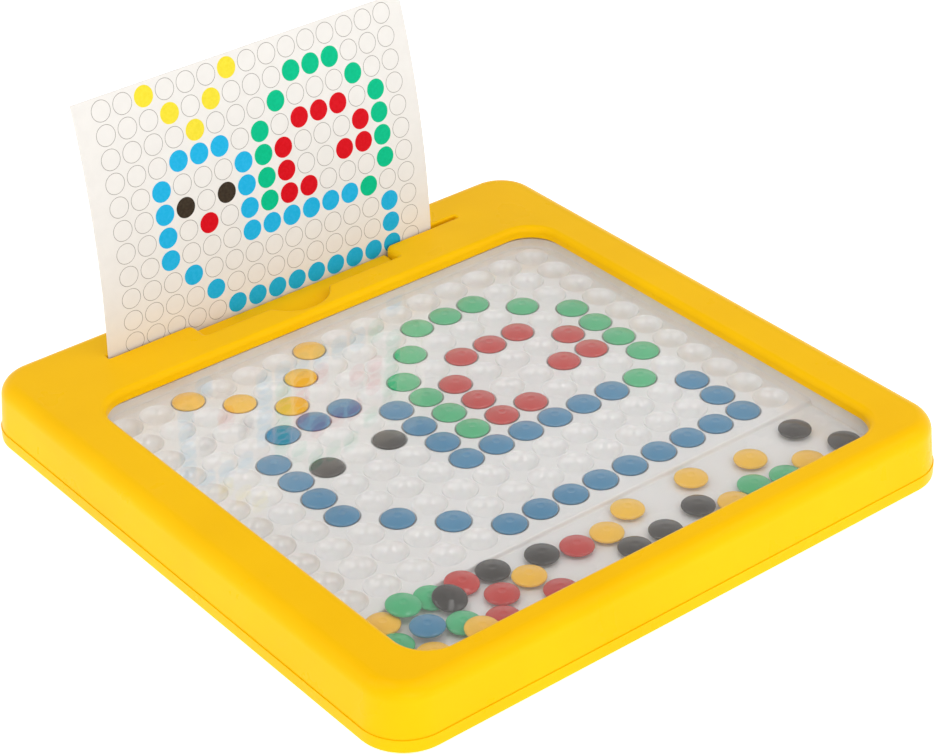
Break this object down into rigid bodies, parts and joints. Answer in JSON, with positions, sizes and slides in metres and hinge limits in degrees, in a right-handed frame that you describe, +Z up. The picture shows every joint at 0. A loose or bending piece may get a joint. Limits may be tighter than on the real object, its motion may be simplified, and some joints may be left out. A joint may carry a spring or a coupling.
{
  "type": "magnetic dot drawing board",
  "caption": "Shallow square case with a clear window over a board of round cups, coloured beads seated in the cups or loose in a tray, and a pattern card standing in a slot.",
  "frame": {"origin": "centre of the case's base, on the surface that it stands on", "axes": "+Z up, +X to the right along the card slot, +Y from the tray towards the card"},
  "size_m": [0.25, 0.2516, 0.1218],
  "materials": {
    "yellow_case": "smooth injection moulding, soft satin gloss",
    "milky_board": "translucent milky white moulding",
    "clear_sheet": "clear plastic sheet, faint haze and sheen",
    "card_stock": "coated card, printed with a dot picture",
    "bead_yellow": "glossy enamel",
    "bead_black": "glossy enamel",
    "bead_red": "glossy enamel",
    "bead_blue": "glossy enamel",
    "bead_green": "glossy enamel"
  },
  "bodies": {
    "case": {"bottom_shell": "yellow_case", "top_frame": "yellow_case", "bead_board": "milky_board", "clear_window": "clear_sheet"},
    "pattern_card_body": {"pattern_card": "card_stock"},
    "yellow_1_body": {"yellow_1": "bead_yellow"},
    "yellow_2_body": {"yellow_2": "bead_yellow"},
    "yellow_3_body": {"yellow_3": "bead_yellow"},
    "yellow_4_body": {"yellow_4": "bead_yellow"},
    "yellow_5_body": {"yellow_5": "bead_yellow"},
    "black_1_body": {"black_1": "bead_black"},
    "black_2_body": {"black_2": "bead_black"},
    "red_1_body": {"red_1": "bead_red"},
    "red_2_body": {"red_2": "bead_red"},
    "red_3_body": {"red_3": "bead_red"},
    "red_4_body": {"red_4": "bead_red"},
    "red_5_body": {"red_5": "bead_red"},
    "red_6_body": {"red_6": "bead_red"},
    "red_7_body": {"red_7": "bead_red"},
    "red_8_body": {"red_8": "bead_red"},
    "red_9_body": {"red_9": "bead_red"},
    "red_10_body": {"red_10": "bead_red"},
    "blue_brow_body": {"blue_brow": "bead_blue"},
    "blue_face_body": {"blue_face": "bead_blue"},
    "blue_chin_body": {"blue_chin": "bead_blue"},
    "blue_belly_body": {"blue_belly": "bead_blue"},
    "blue_tail_body": {"blue_tail": "bead_blue"},
    "blue_neck_body": {"blue_neck": "bead_blue"},
    "blue_back_body": {"blue_back": "bead_blue"},
    "green_left_body": {"green_left": "bead_green"},
    "green_peak_1_body": {"green_peak_1": "bead_green"},
    "green_top_body": {"green_top": "bead_green"},
    "green_peak_2_body": {"green_peak_2": "bead_green"},
    "green_right_body": {"green_right": "bead_green"},
    "green_inner_body": {"green_inner": "bead_green"},
    "loose_black_body": {"loose_black": "bead_black"},
    "loose_yellow_body": {"loose_yellow": "bead_yellow"},
    "loose_red_body": {"loose_red": "bead_red"},
    "loose_green_body": {"loose_green": "bead_green"},
    "loose_blue_body": {"loose_blue": "bead_blue"}
  },
  "joints": [
    {"name": "card_slide", "type": "slide", "parent": "case", "child": "pattern_card_body", "axis": [0, 0, 1], "range_m": [0, 0.012]},
    {"name": "yellow_1_lift", "type": "slide", "parent": "case", "child": "yellow_1_body", "axis": [0, 0, 1], "range_m": [0, 0.002]},
    {"name": "yellow_2_lift", "type": "slide", "parent": "case", "child": "yellow_2_body", "axis": [0, 0, 1], "range_m": [0, 0.002]},
    {"name": "yellow_3_lift", "type": "slide", "parent": "case", "child": "yellow_3_body", "axis": [0, 0, 1], "range_m": [0, 0.002]},
    {"name": "yellow_4_lift", "type": "slide", "parent": "case", "child": "yellow_4_body", "axis": [0, 0, 1], "range_m": [0, 0.002]},
    {"name": "yellow_5_lift", "type": "slide", "parent": "case", "child": "yellow_5_body", "axis": [0, 0, 1], "range_m": [0, 0.002]},
    {"name": "black_1_lift", "type": "slide", "parent": "case", "child": "black_1_body", "axis": [0, 0, 1], "range_m": [0, 0.002]},
    {"name": "black_2_lift", "type": "slide", "parent": "case", "child": "black_2_body", "axis": [0, 0, 1], "range_m": [0, 0.002]},
    {"name": "red_1_lift", "type": "slide", "parent": "case", "child": "red_1_body", "axis": [0, 0, 1], "range_m": [0, 0.002]},
    {"name": "red_2_lift", "type": "slide", "parent": "case", "child": "red_2_body", "axis": [0, 0, 1], "range_m": [0, 0.002]},
    {"name": "red_3_lift", "type": "slide", "parent": "case", "child": "red_3_body", "axis": [0, 0, 1], "range_m": [0, 0.002]},
    {"name": "red_4_lift", "type": "slide", "parent": "case", "child": "red_4_body", "axis": [0, 0, 1], "range_m": [0, 0.002]},
    {"name": "red_5_lift", "type": "slide", "parent": "case", "child": "red_5_body", "axis": [0, 0, 1], "range_m": [0, 0.002]},
    {"name": "red_6_lift", "type": "slide", "parent": "case", "child": "red_6_body", "axis": [0, 0, 1], "range_m": [0, 0.002]},
    {"name": "red_7_lift", "type": "slide", "parent": "case", "child": "red_7_body", "axis": [0, 0, 1], "range_m": [0, 0.002]},
    {"name": "red_8_lift", "type": "slide", "parent": "case", "child": "red_8_body", "axis": [0, 0, 1], "range_m": [0, 0.002]},
    {"name": "red_9_lift", "type": "slide", "parent": "case", "child": "red_9_body", "axis": [0, 0, 1], "range_m": [0, 0.002]},
    {"name": "red_10_lift", "type": "slide", "parent": "case", "child": "red_10_body", "axis": [0, 0, 1], "range_m": [0, 0.002]},
    {"name": "blue_brow_lift", "type": "slide", "parent": "case", "child": "blue_brow_body", "axis": [0, 0, 1], "range_m": [0, 0.002]},
    {"name": "blue_face_lift", "type": "slide", "parent": "case", "child": "blue_face_body", "axis": [0, 0, 1], "range_m": [0, 0.002]},
    {"name": "blue_chin_lift", "type": "slide", "parent": "case", "child": "blue_chin_body", "axis": [0, 0, 1], "range_m": [0, 0.002]},
    {"name": "blue_belly_lift", "type": "slide", "parent": "case", "child": "blue_belly_body", "axis": [0, 0, 1], "range_m": [0, 0.002]},
    {"name": "blue_tail_lift", "type": "slide", "parent": "case", "child": "blue_tail_body", "axis": [0, 0, 1], "range_m": [0, 0.002]},
    {"name": "blue_neck_lift", "type": "slide", "parent": "case", "child": "blue_neck_body", "axis": [0, 0, 1], "range_m": [0, 0.002]},
    {"name": "blue_back_lift", "type": "slide", "parent": "case", "child": "blue_back_body", "axis": [0, 0, 1], "range_m": [0, 0.002]},
    {"name": "green_left_lift", "type": "slide", "parent": "case", "child": "green_left_body", "axis": [0, 0, 1], "range_m": [0, 0.002]},
    {"name": "green_peak_1_lift", "type": "slide", "parent": "case", "child": "green_peak_1_body", "axis": [0, 0, 1], "range_m": [0, 0.002]},
    {"name": "green_top_lift", "type": "slide", "parent": "case", "child": "green_top_body", "axis": [0, 0, 1], "range_m": [0, 0.002]},
    {"name": "green_peak_2_lift", "type": "slide", "parent": "case", "child": "green_peak_2_body", "axis": [0, 0, 1], "range_m": [0, 0.002]},
    {"name": "green_right_lift", "type": "slide", "parent": "case", "child": "green_right_body", "axis": [0, 0, 1], "range_m": [0, 0.002]},
    {"name": "green_inner_lift", "type": "slide", "parent": "case", "child": "green_inner_body", "axis": [0, 0, 1], "range_m": [0, 0.002]},
    {"name": "loose_black_lift", "type": "slide", "parent": "case", "child": "loose_black_body", "axis": [0, 0, 1], "range_m": [0, 0.0004]},
    {"name": "loose_yellow_lift", "type": "slide", "parent": "case", "child": "loose_yellow_body", "axis": [0, 0, 1], "range_m": [0, 0.0004]},
    {"name": "loose_red_lift", "type": "slide", "parent": "case", "child": "loose_red_body", "axis": [0, 0, 1], "range_m": [0, 0.0004]},
    {"name": "loose_green_lift", "type": "slide", "parent": "case", "child": "loose_green_body", "axis": [0, 0, 1], "range_m": [0, 0.0004]},
    {"name": "loose_blue_lift", "type": "slide", "parent": "case", "child": "loose_blue_body", "axis": [0, 0, 1], "range_m": [0, 0.0004]}
  ],
  "couplings": [
    {"joint": "loose_black_lift", "follows": "loose_yellow_lift", "ratio": 1},
    {"joint": "loose_red_lift", "follows": "loose_yellow_lift", "ratio": 1},
    {"joint": "loose_green_lift", "follows": "loose_yellow_lift", "ratio": 1},
    {"joint": "loose_blue_lift", "follows": "loose_yellow_lift", "ratio": 1}
  ]
}
